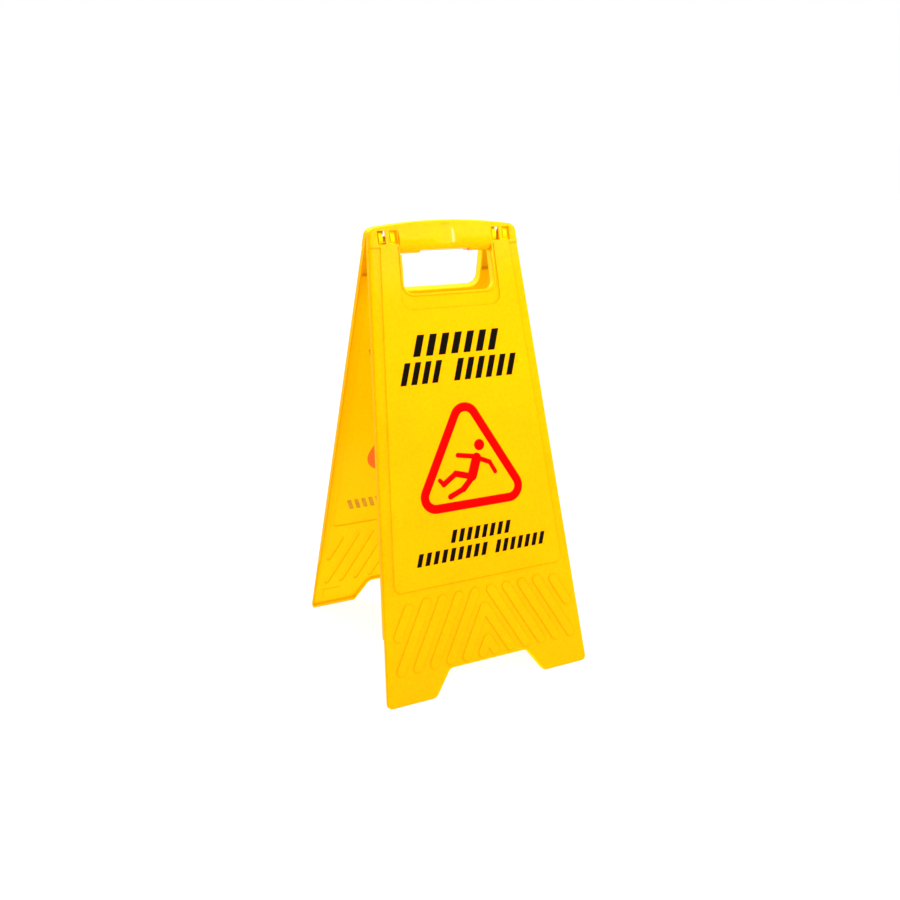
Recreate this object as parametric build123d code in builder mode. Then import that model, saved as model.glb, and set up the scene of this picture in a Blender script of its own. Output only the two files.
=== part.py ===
"""Folding two-sided floor sign: two hinged panels, two hinge pins and four printed layers.

The sign stands open on the floor, Z up, with X across it and the front panel on the -Y side.
The origin is on the floor, midway between the two panels' feet. Sizes are in millimetres.

Both panels come from one mould. The rear panel is the front one turned half a turn about Z, so
the hinge knuckles, which sit off centre, pass beside each other on the hinge axis.
"""

import os
from math import atan2, cos, degrees, radians, sin, tan

from build123d import *

# ---- Panel outline, measured across the panel and up its outer face ----
PANEL_LENGTH = 620.0        # floor to the head's corners
CROWN_RISE = 8.3            # how far the arched top edge stands above those corners
FOOT_HALF_WIDTH = 153.0
HEAD_HALF_WIDTH = 106.2
NOTCH_HEIGHT = 35.3         # the cut-away between the feet
NOTCH_HALF_TOP = 58.2
NOTCH_HALF_FLOOR = 82.5
OUTER_FOOT_RADIUS = 7.0
INNER_FOOT_RADIUS = 12.0
NOTCH_RADIUS = 9.0
HEAD_RADIUS = 11.0

# ---- Panel shell ----
WALL = 2.2
FLANGE_DEPTH = 11.2         # side flange, from the outer face inwards
FOOT_DEPTH = 6.5            # the flange is shallower on the feet
FOOT_STEP_HEIGHT = 92.0     # where it changes
SOLE_THICKNESS = 5.0
EDGE_RADIUS = 3.5
RAISE = 1.5                 # message field and head band, above the rim
RIM_WIDTH = 14.0            # between the panel's side and the message field
FIELD_BOTTOM = 149.0
FIELD_TOP = 600.0           # under the head band
FIELD_RADIUS = 10.0
FIELD_DRAFT = 42.0          # degrees, soft edge of the message field
HEAD_BAND_BOTTOM = 595.5

# ---- Hand opening and grip ----
OPENING_TOP = 588.2
OPENING_BOTTOM = 534.7
OPENING_HALF_TOP = 64.4
OPENING_HALF_BOTTOM = 66.4
OPENING_RADIUS = 13.0
OPENING_TOP_RADIUS = 3.0
RELIEF_HALF_WIDTH = 36.0    # finger relief in the grip's lower edge
RELIEF_HEIGHT = 2.6
BEAD_WIDTH = 3.6            # raised bead left standing around the opening
BEAD_RADIUS = 0.9
SURROUND_HALF_TOP = 70.0    # shallow sunk field around the bead
SURROUND_HALF_BOTTOM = 72.4
SURROUND_BOTTOM = 513.4
SURROUND_RADIUS = 15.0
SURROUND_SINK = 1.0
GRIP_HALF_LENGTH = 66.6
GRIP_TOP_END = (622.5, 1.0) # up the panel, out from its face
GRIP_CREASE = (611.5, 2.8)  # where the slope above the bar meets its round front
GRIP_LOWER_END = (OPENING_TOP, -5.8)
GRIP_BULGE = 4.7            # of the bar's front, over the chord between those two points
SCOOP_UP = 608.5            # thumb scoop across the middle of the grip: a trough in an oval
SCOOP_HALF_SIZE = (20.0, 14.5)
SCOOP_FLOOR = 1.5           # the trough's floor at the middle of the oval, out from the face
SCOOP_TILT = 3.0            # degrees, the floor sinks towards the top
SCOOP_RADIUS = 74.0

# ---- Foot ribs: long beads that slant down and outwards from the middle ----
RIB_ANGLE = 61.4            # degrees from the horizontal
RIB_PITCH = 24.0
RIB_TOP = 130.5
RIB_BOTTOM = 47.0
RIB_FIRST = 12.0            # distance from the middle at the top of rib 0
RIB_LAST_SPAN = (127.0, 93.0)
RIB_WIDTH = 12.6
RIB_HEIGHT = 1.3
RIB_ROUND = 1.1
RIB_GROOVE_WIDTH = 8.4      # the hollow behind each rib

# ---- Date plate on the inner face of one foot ----
PLATE_CENTRE = (120.5, 23.8)
PLATE_SIZE = (27.0, 16.5)
PLATE_HEIGHT = 0.8

# ---- Hinge ----
HINGE_UP = 608.0            # the axis, up the outer face
HINGE_IN = 11.8             # the axis, inwards from the outer face
HALF_ANGLE = 14.56          # degrees each panel leans when the sign is open
NEAR = 0.01                 # two heights closer than this are the same
STOP_GAP = 0.15             # each panel's stop bevel to the sign's middle plane
WINDOW_CENTRES = (74.1, 90.2)
WINDOW_SIZE = (11.0, 17.5)
WINDOW_UP = 607.8
WINDOW_RADIUS = 0.8
KNUCKLE_CENTRES = (-74.1, 90.2)
KNUCKLE_WIDTH = 5.5
KNUCKLE_RADIUS = 10.6
PAD_WIDTH = 14.0            # thick pad that joins a knuckle to the head's wall
PAD_SPAN = (596.4, 618.6)
PAD_DEPTH = 6.5
PAD_WINDOW_DEPTH = 3.6      # how deep the window in front of a pad is sunk
PIN_RADIUS = 3.6
PIN_CLEARANCE = 0.05        # radial, in the rear panel's knuckles
PIN_SPAN = (66.2, 94.4)     # under the head to the tip, outwards from the middle
PIN_HEAD_RADIUS = 4.9
PIN_HEAD_THICKNESS = 1.8
PIN_CHAMFER = 0.4
PARTITION_SPAN = (66.4, 68.6)   # wall between the grip's hollow and each cheek
CROSS_RIBS = (595.6, 556.0) # stiffening ribs across the inside of each cheek
CROSS_RIB_DEPTH = 9.0

# ---- Print, laid on the message field ----
INK = 0.15
# Each band of slanted stripes: left end, right end, bottom, top, number of stripes.
STRIPE_BANDS = (
    (-65.0, 64.0, 453.0, 481.0, 7),
    (-87.0, -24.0, 417.0, 446.0, 4),
    (-10.0, 87.0, 417.0, 446.0, 6),
    (-40.0, 53.0, 203.0, 220.0, 8),
    (-92.0, 15.0, 179.0, 196.0, 9),
    (24.0, 104.0, 179.0, 196.0, 7),
)
STRIPE_SHARE = 0.56         # black part of one stripe's pitch
STRIPE_SLANT = 18.0         # degrees
SYMBOL_APEX = 387.0
SYMBOL_BASE = 245.0
SYMBOL_HALF_WIDTH = 76.0
SYMBOL_STROKE = 12.0
SYMBOL_RADIUS = 22.0
FIGURE_HEAD = (17.0, 328.0)
FIGURE_HEAD_RADIUS = 7.6
# Each limb of the figure: its two ends and its width.
FIGURE_LIMBS = (
    ((11.0, 311.0), (2.0, 288.0), 14.0),     # trunk, leaning back
    ((10.0, 313.0), (-16.0, 318.0), 6.6),    # arm thrown forwards
    ((12.0, 311.0), (30.0, 303.0), 6.6),     # arm reaching back
    ((30.0, 303.0), (37.0, 289.0), 6.0),     # its hand
    ((1.0, 287.0), (-22.0, 294.0), 8.6),     # raised thigh
    ((-22.0, 294.0), (-41.0, 282.0), 7.6),   # shin kicked out
    ((-41.0, 282.0), (-46.0, 288.0), 6.0),   # its foot
    ((2.0, 286.0), (-13.0, 272.0), 8.6),     # thigh of the sliding leg
    ((-13.0, 272.0), (-33.0, 264.5), 7.6),   # its shin
)

half_angle = radians(HALF_ANGLE)
foot_out = HINGE_UP * sin(half_angle) + HINGE_IN * cos(half_angle)
hinge_z = HINGE_UP * cos(half_angle) - HINGE_IN * sin(half_angle)
crown = PANEL_LENGTH + CROWN_RISE
bead_bottom = OPENING_BOTTOM - BEAD_WIDTH
bead_top = OPENING_TOP - OPENING_TOP_RADIUS - NEAR


def half_width(up):
    """Half the panel's width at a distance up its face."""
    return FOOT_HALF_WIDTH + (HEAD_HALF_WIDTH - FOOT_HALF_WIDTH) * up / PANEL_LENGTH


def face_plane(side):
    """A panel's outer face: x across it, y up it, z outwards. side is -1 in front, +1 behind."""
    return Plane(
        origin=(0, side * foot_out, 0),
        x_dir=(-side, 0, 0),
        z_dir=(0, side * cos(half_angle), sin(half_angle)),
    )


def corners_at(sketch, up):
    """The corners of a sketch at a height, the ones nearest the middle first."""
    level = sketch.vertices().filter_by(lambda corner: abs(corner.Y - up) < NEAR)
    return level.sort_by(lambda corner: abs(corner.X))


# ---- Flat outlines, shared by both panels ----
with BuildSketch() as panel_outline:
    right_side = [
        (NOTCH_HALF_TOP, NOTCH_HEIGHT),
        (NOTCH_HALF_FLOOR, 0),
        (FOOT_HALF_WIDTH, 0),
        (HEAD_HALF_WIDTH, PANEL_LENGTH),
    ]
    left_side = [(-x, y) for x, y in reversed(right_side)]
    with BuildLine():
        Polyline(left_side + right_side)
        ThreePointArc(right_side[-1], (0, crown), left_side[0])
    make_face()
    fillet(corners_at(panel_outline, PANEL_LENGTH), HEAD_RADIUS)
    fillet(corners_at(panel_outline, NOTCH_HEIGHT), NOTCH_RADIUS)
    fillet(corners_at(panel_outline, 0)[:2], INNER_FOOT_RADIUS)
    fillet(corners_at(panel_outline, 0)[-2:], OUTER_FOOT_RADIUS)

with BuildSketch() as hand_opening:
    with BuildLine():
        Polyline(
            (-OPENING_HALF_TOP, OPENING_TOP),
            (-OPENING_HALF_BOTTOM, OPENING_BOTTOM),
            (OPENING_HALF_BOTTOM, OPENING_BOTTOM),
            (OPENING_HALF_TOP, OPENING_TOP),
            close=True,
        )
    make_face()
    fillet(corners_at(hand_opening, OPENING_BOTTOM), OPENING_RADIUS)
    fillet(corners_at(hand_opening, OPENING_TOP), OPENING_TOP_RADIUS)
    with Locations((0, OPENING_TOP)):
        Rectangle(2 * RELIEF_HALF_WIDTH, 2 * RELIEF_HEIGHT)

with BuildSketch() as message_field:
    bottom_half = half_width(FIELD_BOTTOM) - RIM_WIDTH
    top_half = half_width(FIELD_TOP) - RIM_WIDTH
    Polygon(
        (-bottom_half, FIELD_BOTTOM),
        (bottom_half, FIELD_BOTTOM),
        (top_half, FIELD_TOP),
        (-top_half, FIELD_TOP),
        align=None,
    )
    fillet(corners_at(message_field, FIELD_BOTTOM), FIELD_RADIUS)

with BuildSketch() as bead_outline:
    Polygon(
        (-OPENING_HALF_BOTTOM - BEAD_WIDTH, bead_bottom),
        (OPENING_HALF_BOTTOM + BEAD_WIDTH, bead_bottom),
        (OPENING_HALF_TOP + BEAD_WIDTH, HEAD_BAND_BOTTOM),
        (-OPENING_HALF_TOP - BEAD_WIDTH, HEAD_BAND_BOTTOM),
        align=None,
    )
    fillet(corners_at(bead_outline, bead_bottom), OPENING_RADIUS + BEAD_WIDTH)

with BuildSketch() as sunk_surround:
    Polygon(
        (-SURROUND_HALF_BOTTOM, SURROUND_BOTTOM),
        (SURROUND_HALF_BOTTOM, SURROUND_BOTTOM),
        (SURROUND_HALF_TOP, HEAD_BAND_BOTTOM),
        (-SURROUND_HALF_TOP, HEAD_BAND_BOTTOM),
        align=None,
    )
    fillet(corners_at(sunk_surround, SURROUND_BOTTOM), SURROUND_RADIUS)
    add(bead_outline.sketch, mode=Mode.SUBTRACT)


def rib_x(index, up):
    """Distance from the middle of rib number index at a distance up the panel."""
    return RIB_FIRST + RIB_PITCH * index + (RIB_TOP - up) / tan(radians(RIB_ANGLE))


def rib_lines():
    """Both ends of every rib's centre line on the right half; ribs -1 and -2 meet the middle."""
    for index in range(4):
        yield index, RIB_TOP, RIB_BOTTOM
    yield 4, *RIB_LAST_SPAN
    for index in (-1, -2):
        at_middle = RIB_TOP + (RIB_FIRST + RIB_PITCH * index) * tan(radians(RIB_ANGLE))
        yield index, at_middle, RIB_BOTTOM


def draw_ribs(width):
    """Draws every rib of the foot area as a slot of the given width in the current sketch."""
    for index, top, bottom in rib_lines():
        for side in (-1, 1):
            middle = (side * (rib_x(index, top) + rib_x(index, bottom)) / 2, (top + bottom) / 2)
            length = (top - bottom) / sin(radians(RIB_ANGLE))
            with Locations(middle):
                SlotCenterToCenter(length, width, rotation=-side * RIB_ANGLE)


with BuildSketch() as inner_walls:
    add(hand_opening.sketch)
    offset(amount=WALL, kind=Kind.ARC, mode=Mode.REPLACE)
    partition_width = PARTITION_SPAN[1] - PARTITION_SPAN[0]
    for inner_side in (-1, 1):
        with Locations((inner_side * sum(PARTITION_SPAN) / 2, OPENING_TOP)):
            Rectangle(partition_width, crown, align=(Align.CENTER, Align.MIN))
    under_bar = HEAD_BAND_BOTTOM - OPENING_TOP
    with Locations((0, OPENING_TOP)):
        Rectangle(2 * PARTITION_SPAN[0], under_bar, align=(Align.CENTER, Align.MIN))

with BuildSketch() as hollow:
    add(panel_outline.sketch)
    offset(amount=-WALL, kind=Kind.INTERSECTION, mode=Mode.REPLACE)
    Rectangle(2 * FOOT_HALF_WIDTH, 2 * SOLE_THICKNESS, mode=Mode.SUBTRACT)
    add(inner_walls.sketch, mode=Mode.SUBTRACT)

with BuildSketch() as hollow_behind_raised_face:
    add(message_field.sketch)
    offset(amount=-WALL, kind=Kind.INTERSECTION, mode=Mode.REPLACE)
    with Locations((0, HEAD_BAND_BOTTOM + WALL)):
        Rectangle(2 * FOOT_HALF_WIDTH, crown, align=(Align.CENTER, Align.MIN))
    add(hollow.sketch, mode=Mode.INTERSECT)


def make_head_band(face):
    """The full-width band at the top of a panel, level with the message field."""
    with BuildPart() as band:
        with BuildSketch(face.offset(RAISE)):
            add(panel_outline.sketch)
            with Locations((0, HEAD_BAND_BOTTOM)):
                Rectangle(
                    2 * FOOT_HALF_WIDTH,
                    HEAD_BAND_BOTTOM,
                    align=(Align.CENTER, Align.MAX),
                    mode=Mode.SUBTRACT,
                )
        extrude(amount=-RAISE - FLANGE_DEPTH)
        outwards = Axis(face.origin, face.z_dir)
        up = Axis(face.origin, face.y_dir)
        rim = band.faces().sort_by(outwards)[-1].edges().sort_by(up)[1:]
        fillet(rim, EDGE_RADIUS)
    return band.part


def make_scoop_cutter(face):
    """What the thumb scoop takes away from the grip."""
    tilt = radians(SCOOP_TILT)
    trough_end = Plane(
        origin=face.from_local_coords(Vector(0, SCOOP_UP, SCOOP_FLOOR)),
        x_dir=face.x_dir,
        z_dir=face.y_dir * cos(tilt) - face.z_dir * sin(tilt),
    )
    with BuildPart() as cutter:
        with BuildSketch(trough_end):
            with Locations((0, -SCOOP_RADIUS)):
                Circle(SCOOP_RADIUS)
        extrude(amount=2 * SCOOP_HALF_SIZE[1], both=True)
        with BuildSketch(face):
            with Locations((0, SCOOP_UP)):
                Ellipse(*SCOOP_HALF_SIZE)
        extrude(amount=FLANGE_DEPTH, mode=Mode.INTERSECT)
    return cutter.part


def make_panel(face, bore_radius):
    """One moulded panel, hollow on its inner side, with its two hinge knuckles."""
    side = -face.x_dir.X
    outwards = Axis(face.origin, face.z_dir)
    across = Plane(origin=face.origin, x_dir=face.y_dir, z_dir=face.x_dir)
    middle = Plane(origin=(0, side * STOP_GAP, 0), z_dir=(0, side, 0))
    head_band = make_head_band(face)
    scoop = make_scoop_cutter(face)

    def at_height(shapes, height):
        """The shapes whose centre lies at a height above the panel's outer face."""
        return shapes.filter_by(lambda s: abs(face.to_local_coords(s.center()).Z - height) < NEAR)

    with BuildPart() as panel:
        # Outer shape: the rim, the head band and the raised message field.
        with BuildSketch(face):
            add(panel_outline.sketch)
        extrude(amount=-FLANGE_DEPTH)
        fillet(panel.faces().sort_by(outwards)[-1].edges(), EDGE_RADIUS)
        add(head_band)
        with BuildSketch(face):
            add(message_field.sketch)
        extrude(amount=RAISE, taper=FIELD_DRAFT)
        with BuildSketch(face.offset(RAISE - SURROUND_SINK)):
            add(sunk_surround.sketch)
        extrude(amount=2 * SURROUND_SINK, mode=Mode.SUBTRACT)

        # Grip: a round bar that turns in towards the opening, and a thumb scoop across it.
        with BuildSketch(across):
            with BuildLine():
                SagittaArc(GRIP_CREASE, GRIP_LOWER_END, -GRIP_BULGE)
                Polyline(
                    GRIP_LOWER_END,
                    (OPENING_TOP - OPENING_TOP_RADIUS, GRIP_LOWER_END[1]),
                    (OPENING_TOP - OPENING_TOP_RADIUS, FLANGE_DEPTH),
                    (GRIP_CREASE[0], FLANGE_DEPTH),
                    GRIP_CREASE,
                )
            make_face()
        extrude(amount=GRIP_HALF_LENGTH, both=True, mode=Mode.SUBTRACT)
        with BuildSketch(across):
            with BuildLine():
                Line(GRIP_TOP_END, GRIP_CREASE)
                SagittaArc(GRIP_CREASE, GRIP_LOWER_END, -GRIP_BULGE)
                Polyline(
                    GRIP_LOWER_END,
                    (GRIP_LOWER_END[0], -FLANGE_DEPTH),
                    (GRIP_TOP_END[0], -FLANGE_DEPTH),
                    GRIP_TOP_END,
                )
            make_face()
        extrude(amount=GRIP_HALF_LENGTH, both=True)
        add(scoop, mode=Mode.SUBTRACT)

        # Foot ribs, raised on the outside.
        with BuildSketch(face.offset(RIB_HEIGHT)):
            draw_ribs(RIB_WIDTH)
        extrude(amount=-RIB_HEIGHT - WALL / 2)
        fillet(at_height(panel.faces().filter_by(GeomType.PLANE), RIB_HEIGHT).edges(), RIB_ROUND)

        # Hand opening: a raised bead around it, with soft edges.
        with BuildSketch(face.offset(FLANGE_DEPTH)):
            add(hand_opening.sketch)
        extrude(amount=-3 * FLANGE_DEPTH, mode=Mode.SUBTRACT)
        bead_edges = at_height(panel.edges(), RAISE).filter_by(
            lambda e: abs(e.center().X) < OPENING_HALF_BOTTOM + BEAD_WIDTH
            and bead_bottom - NEAR < face.to_local_coords(e.center()).Y < bead_top
        )
        fillet(bead_edges, BEAD_RADIUS)

        # Hollow inner side. The wall follows the raised faces and the ribs.
        with BuildSketch(face.offset(-WALL)):
            add(hollow.sketch)
        extrude(amount=-FLANGE_DEPTH, mode=Mode.SUBTRACT)
        with BuildSketch(face.offset(RAISE - WALL)):
            add(hollow_behind_raised_face.sketch)
        extrude(amount=-RAISE, mode=Mode.SUBTRACT)
        with BuildSketch(face.offset(RIB_HEIGHT - WALL)):
            draw_ribs(RIB_GROOVE_WIDTH)
        extrude(amount=-RIB_HEIGHT, mode=Mode.SUBTRACT)
        with BuildSketch(face.offset(-FOOT_DEPTH)):
            Rectangle(3 * FOOT_HALF_WIDTH, 2 * FOOT_STEP_HEIGHT)
        extrude(amount=-FLANGE_DEPTH, mode=Mode.SUBTRACT)
        with BuildSketch(face.offset(-WALL - PLATE_HEIGHT)):
            with Locations(PLATE_CENTRE):
                Rectangle(*PLATE_SIZE)
        extrude(amount=WALL / 2 + PLATE_HEIGHT)

        # Cross ribs on both cheeks, and the pads that carry the knuckles.
        with BuildSketch(face.offset(-CROSS_RIB_DEPTH)):
            for up in CROSS_RIBS:
                inner, outer = PARTITION_SPAN[0], half_width(up) - WALL / 2
                for cheek in (-1, 1):
                    with Locations((cheek * (inner + outer) / 2, up)):
                        Rectangle(outer - inner, WALL)
        extrude(amount=CROSS_RIB_DEPTH - WALL / 2)
        with BuildSketch(face.offset(-PAD_DEPTH)):
            for centre in KNUCKLE_CENTRES:
                with Locations((centre, sum(PAD_SPAN) / 2)):
                    Rectangle(PAD_WIDTH, PAD_SPAN[1] - PAD_SPAN[0])
        extrude(amount=PAD_DEPTH)

        # The feet are cut level, and the bevel above the hinge is the opening stop.
        split(bisect_by=middle, keep=Keep.TOP)
        split(bisect_by=Plane.XY, keep=Keep.TOP)

        # Windows: sunk in front of this panel's knuckles, open in front of the other panel's.
        with BuildSketch(face.offset(RAISE)):
            for centre in WINDOW_CENTRES:
                with Locations((-centre, WINDOW_UP), (centre, WINDOW_UP)):
                    RectangleRounded(*WINDOW_SIZE, WINDOW_RADIUS)
        extrude(amount=-RAISE - PAD_WINDOW_DEPTH, mode=Mode.SUBTRACT)

        # Knuckles, then one bore on the hinge axis through each knuckle and its partition.
        for centre in KNUCKLE_CENTRES:
            with BuildSketch(across.offset(centre)):
                with Locations((HINGE_UP, -HINGE_IN)):
                    Circle(KNUCKLE_RADIUS)
            extrude(amount=KNUCKLE_WIDTH / 2, both=True)
        for cheek in (-1, 1):
            with BuildSketch(across.offset(cheek * PARTITION_SPAN[0])):
                with Locations((HINGE_UP, -HINGE_IN)):
                    Circle(bore_radius)
            extrude(amount=cheek * (PIN_SPAN[1] - PARTITION_SPAN[0]), mode=Mode.SUBTRACT)
    return panel.part


def make_pin(side):
    """A headed plastic pin on the hinge axis, pushed outwards from inside the grip."""
    start, end = PIN_SPAN
    outwards = Axis((0, 0, 0), (side, 0, 0))
    under_head = Plane(origin=(side * start, 0, hinge_z), z_dir=(side, 0, 0))
    with BuildPart() as pin:
        with BuildSketch(under_head):
            Circle(PIN_RADIUS)
        extrude(amount=end - start)
        with BuildSketch(under_head):
            Circle(PIN_HEAD_RADIUS)
        extrude(amount=-PIN_HEAD_THICKNESS)
        rims = pin.edges().filter_by(GeomType.CIRCLE).sort_by(outwards)
        chamfer([rims[0], rims[-1]], PIN_CHAMFER)
    return pin.part


def make_stripes(face):
    """Bands of slanted stripes that stand where a real sign has its lines of words."""
    with BuildPart() as stripes:
        with BuildSketch(face.offset(RAISE)):
            for left, right, bottom, top, count in STRIPE_BANDS:
                lean = (top - bottom) * tan(radians(STRIPE_SLANT))
                pitch = (right - left - lean) / (count - 1 + STRIPE_SHARE)
                width = pitch * STRIPE_SHARE
                for index in range(count):
                    start = left + index * pitch
                    Polygon(
                        (start, bottom),
                        (start + width, bottom),
                        (start + width + lean, top),
                        (start + lean, top),
                        align=None,
                    )
        extrude(amount=INK)
    return stripes.part


def make_symbol(face):
    """A rounded warning triangle with a plain figure of a person losing their footing."""
    apex = SYMBOL_APEX - SYMBOL_RADIUS
    base = SYMBOL_BASE + SYMBOL_RADIUS
    half = SYMBOL_HALF_WIDTH - SYMBOL_RADIUS
    with BuildSketch() as corner_centres:
        Polygon((-half, base), (half, base), (0, apex), align=None)
    with BuildPart() as symbol:
        with BuildSketch(face.offset(RAISE)):
            offset(corner_centres.sketch, amount=SYMBOL_RADIUS, kind=Kind.ARC)
            offset(
                corner_centres.sketch,
                amount=SYMBOL_RADIUS - SYMBOL_STROKE,
                kind=Kind.ARC,
                mode=Mode.SUBTRACT,
            )
            with Locations(FIGURE_HEAD):
                Circle(FIGURE_HEAD_RADIUS)
            for begin, finish, width in FIGURE_LIMBS:
                limb = Vector(*finish) - Vector(*begin)
                with Locations((Vector(*begin) + Vector(*finish)) / 2):
                    turn = degrees(atan2(limb.Y, limb.X))
                    SlotCenterToCenter(limb.length, width, rotation=turn)
        extrude(amount=INK)
    return symbol.part


os.makedirs("parts", exist_ok=True)
panels = (("front", -1, PIN_RADIUS), ("rear", 1, PIN_RADIUS + PIN_CLEARANCE))
pieces = {}
for name, panel_side, bore in panels:
    panel_face = face_plane(panel_side)
    pieces[f"{name}_panel"] = make_panel(panel_face, bore)
    pieces[f"{name}_stripe_print"] = make_stripes(panel_face)
    pieces[f"{name}_symbol_print"] = make_symbol(panel_face)
pieces["left_hinge_pin"] = make_pin(-1)
pieces["right_hinge_pin"] = make_pin(1)

for label, piece in pieces.items():
    piece.label = label
    export_step(piece, f"parts/{label}.step")
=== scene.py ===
"""Looks for the folding wet floor sign: moulded plastic, printed ink and its show-through.

Everything stands in the CAD frame, in metres, with the front panel on the -Y side.
"""

from math import cos, radians, sin

import bpy
from mathutils import Matrix, Vector


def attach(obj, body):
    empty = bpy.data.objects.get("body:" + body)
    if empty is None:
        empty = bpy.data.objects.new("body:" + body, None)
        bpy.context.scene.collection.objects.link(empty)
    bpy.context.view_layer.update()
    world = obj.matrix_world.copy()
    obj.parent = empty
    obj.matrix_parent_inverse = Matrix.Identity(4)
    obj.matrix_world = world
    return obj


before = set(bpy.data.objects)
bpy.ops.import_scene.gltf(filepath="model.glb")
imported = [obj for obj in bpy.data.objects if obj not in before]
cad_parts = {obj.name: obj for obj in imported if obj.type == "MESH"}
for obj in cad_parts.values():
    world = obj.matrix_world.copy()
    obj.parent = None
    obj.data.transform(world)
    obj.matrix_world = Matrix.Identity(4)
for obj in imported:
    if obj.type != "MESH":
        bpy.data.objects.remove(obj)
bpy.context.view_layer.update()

MM = 0.001

# ---- Camera: hip height, three-quarter view from the left ----
CAMERA_AT = (-0.5478, -1.1671, 0.7005)
CAMERA_YAW = -25.689
CAMERA_TILT = 17.721
CAMERA_ROLL = 0.141
CAMERA_LENS = 38.077
SENSOR = 36.0

# ---- Stage ----
FLOOR_REACH = 12.0
FLOOR_TONE = 0.2
FLOOR_GLOW = 0.85                # its own light, so that it meets the white surround
FLOOR_ROUGHNESS = 0.9
SKY_HORIZON = 1.0
SKY_ZENITH = 1.35
SKY_SPAN = (0.15, 1.0)           # the surround brightens over these heights; 1 is overhead
# Each area light: its name, place, target, size and power in watts.
LIGHTS = (
    ("key", (0.25, -0.55, 1.0), (0, 0, 0.6), 0.5, 3.9),
    ("back", (-0.25, 0.55, 1.0), (0, 0, 0.6), 0.5, 4),
    ("glint", (0.46, -2.27, 1.80), (0, 0, 0.58), 0.14, 14),
)

# ---- Panel geometry that the materials follow ----
LEAN = radians(14.56)
FOOT_OUT = 164.27 * MM           # from the middle plane to the foot of the outer face
HALF_WIDTH_AT_FLOOR = 153 * MM
TAPER = 0.0755                   # half width lost for each metre up the face
FIELD_BOTTOM = 149 * MM          # up the panel's face
FIELD_HALF_AT_FLOOR = 139 * MM
HEAD_BAND_BOTTOM = 595 * MM
EDGE_BLUR = 1 * MM               # either side of a mask's edge
RIM_FADE = (-25 * MM, 5 * MM)    # where the rim's painted shade sets in, up from the field's bottom
SKIN = (-0.6 * MM, -0.2 * MM)    # between the inner faces and the outer ones, out from the face
SIDE_WALL = (-2.1 * MM, -1.6 * MM)      # within the flange's wall, from the panel's side
FLANGE_TURN = (-6 * MM, -3 * MM)        # where the face turns into the flange, likewise
BAR_UP = 591.5 * MM              # the grip bar's underside, which turns in towards the opening
BAR_HALF_LENGTH = 66.6 * MM
BAR_CLEARANCE = (4 * MM, 5 * MM)
WALL = 2.2 * MM
SHOW_THROUGH_PROUD = 0.05 * MM

# ---- Noise: cells to a metre, and the part of its range that is used ----
MOTTLE_SCALE = 260
CLOUD_SCALE = 14
GRAIN_SCALE = 1300
SPECKLE_SCALE = 700
BLOTCH_SCALE = 180
NOISE_SPAN = (0.3, 0.7)

# ---- Plastic: the green part of its yellow, from its darkest mottle to its lightest ----
OUTER_LOW, OUTER_HIGH = 0.370, 0.480
# The inner faces' yellow is painted lighter, as painted light for the light that comes through the thin
# wall.
INNER_PAINTED_LIGHT_LOW, INNER_PAINTED_LIGHT_HIGH = 0.620, 0.720
# The green part of the deeper orange that is painted into the creases as shade.
CREASE_SHADE_GREEN = 0.20
PIN_TINT = 0.93
# How far each effect moves a point between the darkest and the lightest.
BASE_LEVEL = 0.15
MOTTLE_LEVEL = 0.45
CLOUD_LEVEL = 0.25
# The sunk strips beside the field are painted darker, as painted shade.
RIM_SHADE_LEVEL = -0.15
# Painted crease shade: how deep its tone is, how far it reaches, and the openness where it ends.
CREASE_SHADE_DEPTH = 0.6
CREASE_SHADE_SHARE_INSIDE = 0.4
CREASE_REACH = 4 * MM
CREASE_OPENNESS = (0.6, 0.98)
CREASE_SAMPLES = 8
PLASTIC_ROUGHNESS = (0.09, 0.15)
PLASTIC_IOR = 1.11
FACE_SHINE, FLANGE_SHINE = 0.5, 0.1
GRAIN_STRENGTH = 0.12
GRAIN_DEPTH = 0.1 * MM
SCATTER_WEIGHT = 0.3
SCATTER_RADIUS = (1.0, 0.45, 0.02)
SCATTER_SCALE = 6 * MM

# ---- Ink: each colour's darkest and lightest speckle ----
BLACK_INK = (0.002, 0.001, 0.0), (0.006, 0.004, 0.002)
RED_INK = (0.92, 0.0, 0.0), (0.98, 0.001, 0.0)
INK_ROUGHNESS = (0.35, 0.5)
INK_IOR = 1.08
# Partly the print seen through the thin wall, partly painted shade where the print blocks the light coming
# through it.
BLACK_THROUGH_AND_SHADE = (0.60, 0.24, 0.0), (0.80, 0.38, 0.0)
RED_THROUGH_AND_SHADE = (1.0, 0.14, 0.0), (1.0, 0.20, 0.0)
THROUGH_ROUGHNESS = (0.4, 0.5)
THROUGH_SHINE = 0.25


# ---- Camera, lights and floor ----
def make_camera():
    data = bpy.data.cameras.new("camera")
    data.lens = CAMERA_LENS
    data.sensor_width = SENSOR
    camera = bpy.data.objects.new("camera", data)
    turn = Matrix.Rotation(radians(CAMERA_YAW), 4, "Z")
    tilt = Matrix.Rotation(radians(90 - CAMERA_TILT), 4, "X")
    roll = Matrix.Rotation(radians(CAMERA_ROLL), 4, "Z")
    camera.matrix_world = Matrix.Translation(CAMERA_AT) @ turn @ tilt @ roll
    bpy.context.scene.collection.objects.link(camera)
    bpy.context.scene.camera = camera


def area_light(name, place, target, size, power):
    data = bpy.data.lights.new(name, "AREA")
    data.size = size
    data.energy = power
    light = bpy.data.objects.new(name, data)
    light.location = place
    away = Vector(place) - Vector(target)
    light.rotation_euler = away.to_track_quat("Z", "Y").to_euler()
    bpy.context.scene.collection.objects.link(light)


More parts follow.
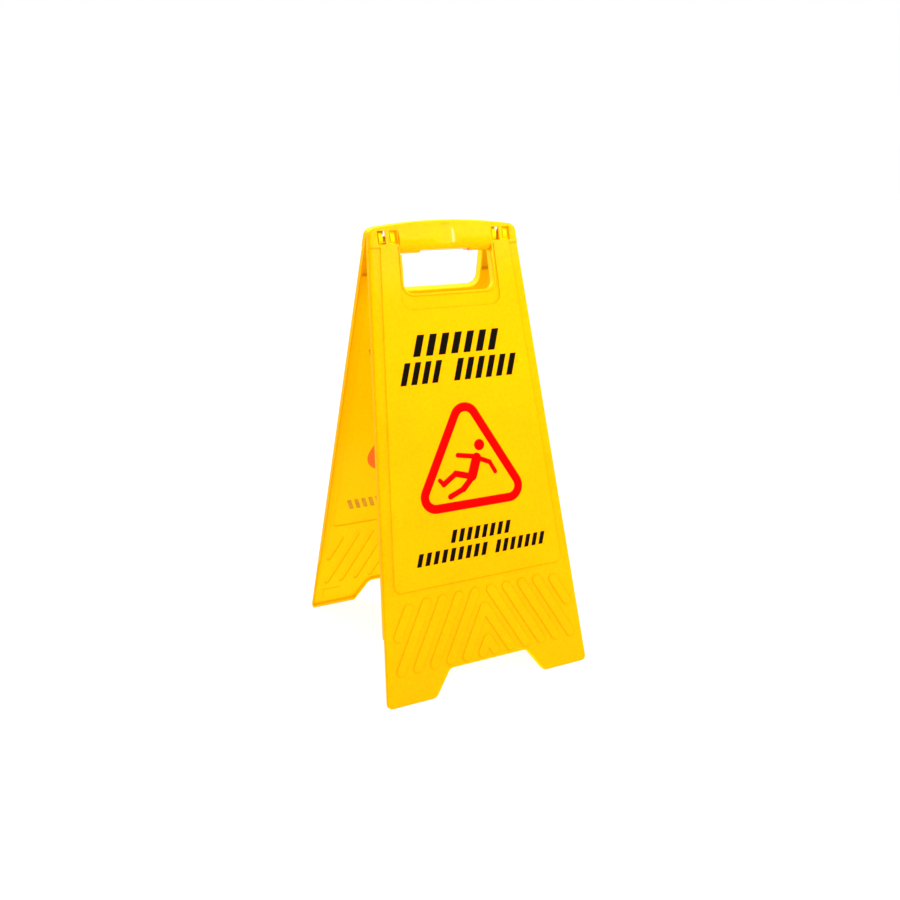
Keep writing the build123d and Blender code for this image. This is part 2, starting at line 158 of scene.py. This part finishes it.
def make_floor():
    mesh = bpy.data.meshes.new("floor")
    reach = FLOOR_REACH
    corners = [(-reach, -reach, 0), (reach, -reach, 0), (reach, reach, 0), (-reach, reach, 0)]
    mesh.from_pydata(corners, [], [(0, 1, 2, 3)])
    floor = bpy.data.objects.new("floor", mesh)
    bpy.context.scene.collection.objects.link(floor)
    material, _, _, shader = new_material("pale_floor")
    shader.inputs["Base Color"].default_value = (FLOOR_TONE, FLOOR_TONE, FLOOR_TONE, 1)
    shader.inputs["Emission Color"].default_value = (1, 1, 1, 1)
    shader.inputs["Emission Strength"].default_value = FLOOR_GLOW
    shader.inputs["Roughness"].default_value = FLOOR_ROUGHNESS
    shader.inputs["Specular IOR Level"].default_value = 0.0
    mesh.materials.append(material)


def make_sky():
    """A white surround, brighter overhead."""
    world = bpy.data.worlds.new("studio")
    bpy.context.scene.world = world
    world.use_nodes = True
    nodes, links = world.node_tree.nodes, world.node_tree.links
    direction = nodes.new("ShaderNodeTexCoord").outputs["Generated"]
    height = nodes.new("ShaderNodeSeparateXYZ")
    links.new(direction, height.inputs["Vector"])
    strength = map_range(nodes, links, height.outputs["Z"], SKY_SPAN, (SKY_HORIZON, SKY_ZENITH))
    links.new(strength, nodes["Background"].inputs["Strength"])
    nodes["Background"].inputs["Color"].default_value = (1, 1, 1, 1)


# ---- Node helpers ----
def new_material(name):
    material = bpy.data.materials.new(name)
    material.use_nodes = True
    nodes, links = material.node_tree.nodes, material.node_tree.links
    return material, nodes, links, nodes["Principled BSDF"]


def noise(nodes, links, coordinates, scale, detail=3.0):
    node = nodes.new("ShaderNodeTexNoise")
    node.inputs["Scale"].default_value = scale
    node.inputs["Detail"].default_value = detail
    links.new(coordinates, node.inputs["Vector"])
    return node.outputs["Fac"]


def map_range(nodes, links, value, source, target, smooth=False):
    """Maps a value from one (low, high) pair to another, and holds it there at both ends."""
    node = nodes.new("ShaderNodeMapRange")
    node.interpolation_type = "SMOOTHSTEP" if smooth else "LINEAR"
    links.new(value, node.inputs["Value"])
    node.inputs["From Min"].default_value, node.inputs["From Max"].default_value = source
    node.inputs["To Min"].default_value, node.inputs["To Max"].default_value = target
    return node.outputs["Result"]


def calculate(nodes, links, operation, *values):
    """One Math node. Each value is a number or another node's output."""
    node = nodes.new("ShaderNodeMath")
    node.operation = operation
    for socket, value in zip(node.inputs, values):
        if isinstance(value, (int, float)):
            socket.default_value = value
        else:
            links.new(value, socket)
    return node.outputs["Value"]


def mix_colours(nodes, links, factor, low, high):
    """One colour Mix node. Each colour is three numbers or another node's output."""
    node = nodes.new("ShaderNodeMix")
    node.data_type = "RGBA"
    links.new(factor, node.inputs["Factor"])
    for socket, colour in ((node.inputs["A"], low), (node.inputs["B"], high)):
        if isinstance(colour, tuple):
            socket.default_value = (*colour, 1)
        else:
            links.new(colour, socket)
    return node.outputs["Result"]


# ---- Materials ----
def panel_position(nodes, links, coordinates, side):
    """Where a point is on its panel: across, up and out from the face, and towards the side.

    The last one is the half width that a panel would need at floor level to pass through it.
    """
    split = nodes.new("ShaderNodeSeparateXYZ")
    links.new(coordinates, split.inputs["Vector"])
    across = calculate(nodes, links, "ABSOLUTE", split.outputs["X"])
    direction = -1 if side == "front" else 1
    back = calculate(nodes, links, "MULTIPLY_ADD", split.outputs["Y"], direction, -FOOT_OUT)
    up_z = calculate(nodes, links, "MULTIPLY", split.outputs["Z"], cos(LEAN))
    up = calculate(nodes, links, "MULTIPLY_ADD", back, -sin(LEAN), up_z)
    out_z = calculate(nodes, links, "MULTIPLY", split.outputs["Z"], sin(LEAN))
    out = calculate(nodes, links, "MULTIPLY_ADD", back, cos(LEAN), out_z)
    sideways = calculate(nodes, links, "MULTIPLY_ADD", up, TAPER, across)
    return across, up, out, sideways


def span_from(start, span):
    """A (low, high) pair moved along by a distance."""
    return start + span[0], start + span[1]


def rim_shade_mask(nodes, links, up, sideways):
    """1 on the sunk strips beside the message field, which are painted darker as shade; 0 elsewhere."""
    edge = (-EDGE_BLUR, EDGE_BLUR)
    field_side = span_from(FIELD_HALF_AT_FLOOR, edge)
    field_bottom = span_from(FIELD_BOTTOM, RIM_FADE)
    band_bottom = span_from(HEAD_BAND_BOTTOM, edge)
    beside = map_range(nodes, links, sideways, field_side, (0, 1), smooth=True)
    above = map_range(nodes, links, up, field_bottom, (0, 1), smooth=True)
    below = map_range(nodes, links, up, band_bottom, (1, 0), smooth=True)
    return calculate(nodes, links, "MULTIPLY", calculate(nodes, links, "MULTIPLY", beside, above), below)


def inside_painted_light_mask(nodes, links, across, up, out, sideways):
    """1 on the faces inside the shell, where a lighter yellow is painted for the light that reaches them
    through the thin wall; 0 elsewhere.
    """
    side_wall = span_from(HALF_WIDTH_AT_FLOOR, SIDE_WALL)
    bar_end = (BAR_HALF_LENGTH, BAR_HALF_LENGTH + EDGE_BLUR)
    behind = map_range(nodes, links, out, SKIN, (1, 0))
    within = map_range(nodes, links, sideways, side_wall, (1, 0))
    inside = calculate(nodes, links, "MULTIPLY", behind, within)
    beside_bar = map_range(nodes, links, across, bar_end, (0, 1))
    off_middle = calculate(nodes, links, "ABSOLUTE", calculate(nodes, links, "SUBTRACT", up, BAR_UP))
    clear_of_bar = map_range(nodes, links, off_middle, BAR_CLEARANCE, (0, 1))
    off_bar = calculate(nodes, links, "MAXIMUM", beside_bar, clear_of_bar)
    return calculate(nodes, links, "MULTIPLY", inside, off_bar)


def yellow(green):
    """The plastic's colour, from its green part."""
    return 1.0, green, 0.0


def moulded_plastic(name, side, tint=1.0):
    """Mottled yellow, painted lighter inside the shell for the light that comes through the thin wall, and
    painted a deeper orange in its creases as shade.
    """
    material, nodes, links, shader = new_material(name)
    coordinates = nodes.new("ShaderNodeTexCoord").outputs["Object"]
    across, up, out, sideways = panel_position(nodes, links, coordinates, side)
    inside = inside_painted_light_mask(nodes, links, across, up, out, sideways)

    # Colour, before the painted crease shade.
    mottle = noise(nodes, links, coordinates, MOTTLE_SCALE, 4)
    cloud = noise(nodes, links, coordinates, CLOUD_SCALE, 2)
    mottle_level = map_range(nodes, links, mottle, NOISE_SPAN, (0.0, MOTTLE_LEVEL))
    cloud_level = map_range(nodes, links, cloud, NOISE_SPAN, (0.0, CLOUD_LEVEL))
    # Painted shade on the sunk strips beside the field.
    rim_shade = rim_shade_mask(nodes, links, up, sideways)
    level = calculate(nodes, links, "ADD", mottle_level, cloud_level)
    level = calculate(nodes, links, "MULTIPLY_ADD", rim_shade, RIM_SHADE_LEVEL, level)
    level = calculate(nodes, links, "ADD", level, BASE_LEVEL)
    outer = mix_colours(nodes, links, level, yellow(OUTER_LOW * tint), yellow(OUTER_HIGH * tint))
    inner_painted_light = mix_colours(nodes, links, level, yellow(INNER_PAINTED_LIGHT_LOW * tint), yellow(INNER_PAINTED_LIGHT_HIGH * tint))
    # Painted light: the faces inside the shell take the lighter yellow.
    body = mix_colours(nodes, links, inside, outer, inner_painted_light)

    # Painted shade in the creases, weaker inside the shell.
    crease_shade = nodes.new("ShaderNodeAmbientOcclusion")
    crease_shade.samples = CREASE_SAMPLES
    crease_shade.inputs["Distance"].default_value = CREASE_REACH
    crease_shade_depth = map_range(nodes, links, crease_shade.outputs["AO"], CREASE_OPENNESS, (CREASE_SHADE_DEPTH, 0.0))
    share = map_range(nodes, links, inside, (0, 1), (1, CREASE_SHADE_SHARE_INSIDE))
    crease_shade_depth = calculate(nodes, links, "MULTIPLY", crease_shade_depth, share)
    crease_shaded = mix_colours(nodes, links, crease_shade_depth, body, yellow(CREASE_SHADE_GREEN * tint))
    links.new(crease_shaded, shader.inputs["Base Color"])

    # Gloss, grain and the light that scatters in the plastic.
    links.new(map_range(nodes, links, mottle, NOISE_SPAN, PLASTIC_ROUGHNESS), shader.inputs["Roughness"])
    flange = span_from(HALF_WIDTH_AT_FLOOR, FLANGE_TURN)
    shine = map_range(nodes, links, sideways, flange, (FACE_SHINE, FLANGE_SHINE))
    links.new(shine, shader.inputs["Specular IOR Level"])
    shader.inputs["IOR"].default_value = PLASTIC_IOR
    grain = nodes.new("ShaderNodeBump")
    grain.inputs["Strength"].default_value = GRAIN_STRENGTH
    grain.inputs["Distance"].default_value = GRAIN_DEPTH
    links.new(noise(nodes, links, coordinates, GRAIN_SCALE, 2), grain.inputs["Height"])
    links.new(grain.outputs["Normal"], shader.inputs["Normal"])
    shader.inputs["Subsurface Weight"].default_value = SCATTER_WEIGHT
    shader.inputs["Subsurface Radius"].default_value = SCATTER_RADIUS
    shader.inputs["Subsurface Scale"].default_value = SCATTER_SCALE
    return material


def printed_ink(name, low, high):
    material, nodes, links, shader = new_material(name)
    coordinates = nodes.new("ShaderNodeTexCoord").outputs["Object"]
    speckle = noise(nodes, links, coordinates, SPECKLE_SCALE)
    level = map_range(nodes, links, speckle, NOISE_SPAN, (0, 1))
    links.new(mix_colours(nodes, links, level, low, high), shader.inputs["Base Color"])
    links.new(map_range(nodes, links, speckle, NOISE_SPAN, INK_ROUGHNESS), shader.inputs["Roughness"])
    shader.inputs["IOR"].default_value = INK_IOR
    return material


def ink_and_shade_through_plastic(name, low, high):
    """The wall is thin enough for the print on its far side to show, browned and uneven; its darkness is
    partly painted shade, where the print blocks the light coming through the wall.
    """
    material, nodes, links, shader = new_material(name)
    coordinates = nodes.new("ShaderNodeTexCoord").outputs["Object"]
    blotch = map_range(nodes, links, noise(nodes, links, coordinates, BLOTCH_SCALE, 4), NOISE_SPAN, (0, 1))
    links.new(mix_colours(nodes, links, blotch, low, high), shader.inputs["Base Color"])
    links.new(map_range(nodes, links, blotch, (0, 1), THROUGH_ROUGHNESS), shader.inputs["Roughness"])
    shader.inputs["Specular IOR Level"].default_value = THROUGH_SHINE
    return material


# ---- Pieces ----
def make_print_and_shade_through(side, layer, material):
    """A thin copy of a printed layer, set just proud of the panel's inner face behind it: partly the print
    seen through the wall, partly a painted shade sheet where the print blocks the light coming through.
    """
    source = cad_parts[f"{side}_{layer}_print"]
    piece = bpy.data.objects.new(f"{side}_{layer}_show_through", source.data.copy())
    bpy.context.scene.collection.objects.link(piece)
    direction = -1 if side == "front" else 1
    outwards = Vector((0, direction * cos(LEAN), sin(LEAN)))
    piece.data.transform(Matrix.Translation(-outwards * (WALL + SHOW_THROUGH_PROUD)))
    piece.data.materials.clear()
    piece.data.materials.append(material)
    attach(piece, side)


def dress(node, material):
    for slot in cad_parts[node].material_slots:
        slot.material = material


make_camera()
make_floor()
make_sky()
for light in LIGHTS:
    area_light(*light)

black_ink = printed_ink("black_ink", *BLACK_INK)
red_ink = printed_ink("red_ink", *RED_INK)
black_through_and_shade = ink_and_shade_through_plastic("black_ink_and_shade_through_plastic", *BLACK_THROUGH_AND_SHADE)
red_through_and_shade = ink_and_shade_through_plastic("red_ink_and_shade_through_plastic", *RED_THROUGH_AND_SHADE)
for side in ("front", "rear"):
    dress(f"{side}_panel", moulded_plastic(f"yellow_plastic_{side}", side))
    dress(f"{side}_stripe_print", black_ink)
    dress(f"{side}_symbol_print", red_ink)
    make_print_and_shade_through(side, "stripe", black_through_and_shade)
    make_print_and_shade_through(side, "symbol", red_through_and_shade)
pin_plastic = moulded_plastic("pin_plastic", "front", tint=PIN_TINT)
for side in ("left", "right"):
    dress(f"{side}_hinge_pin", pin_plastic)

bpy.context.scene.view_settings.view_transform = "Standard"
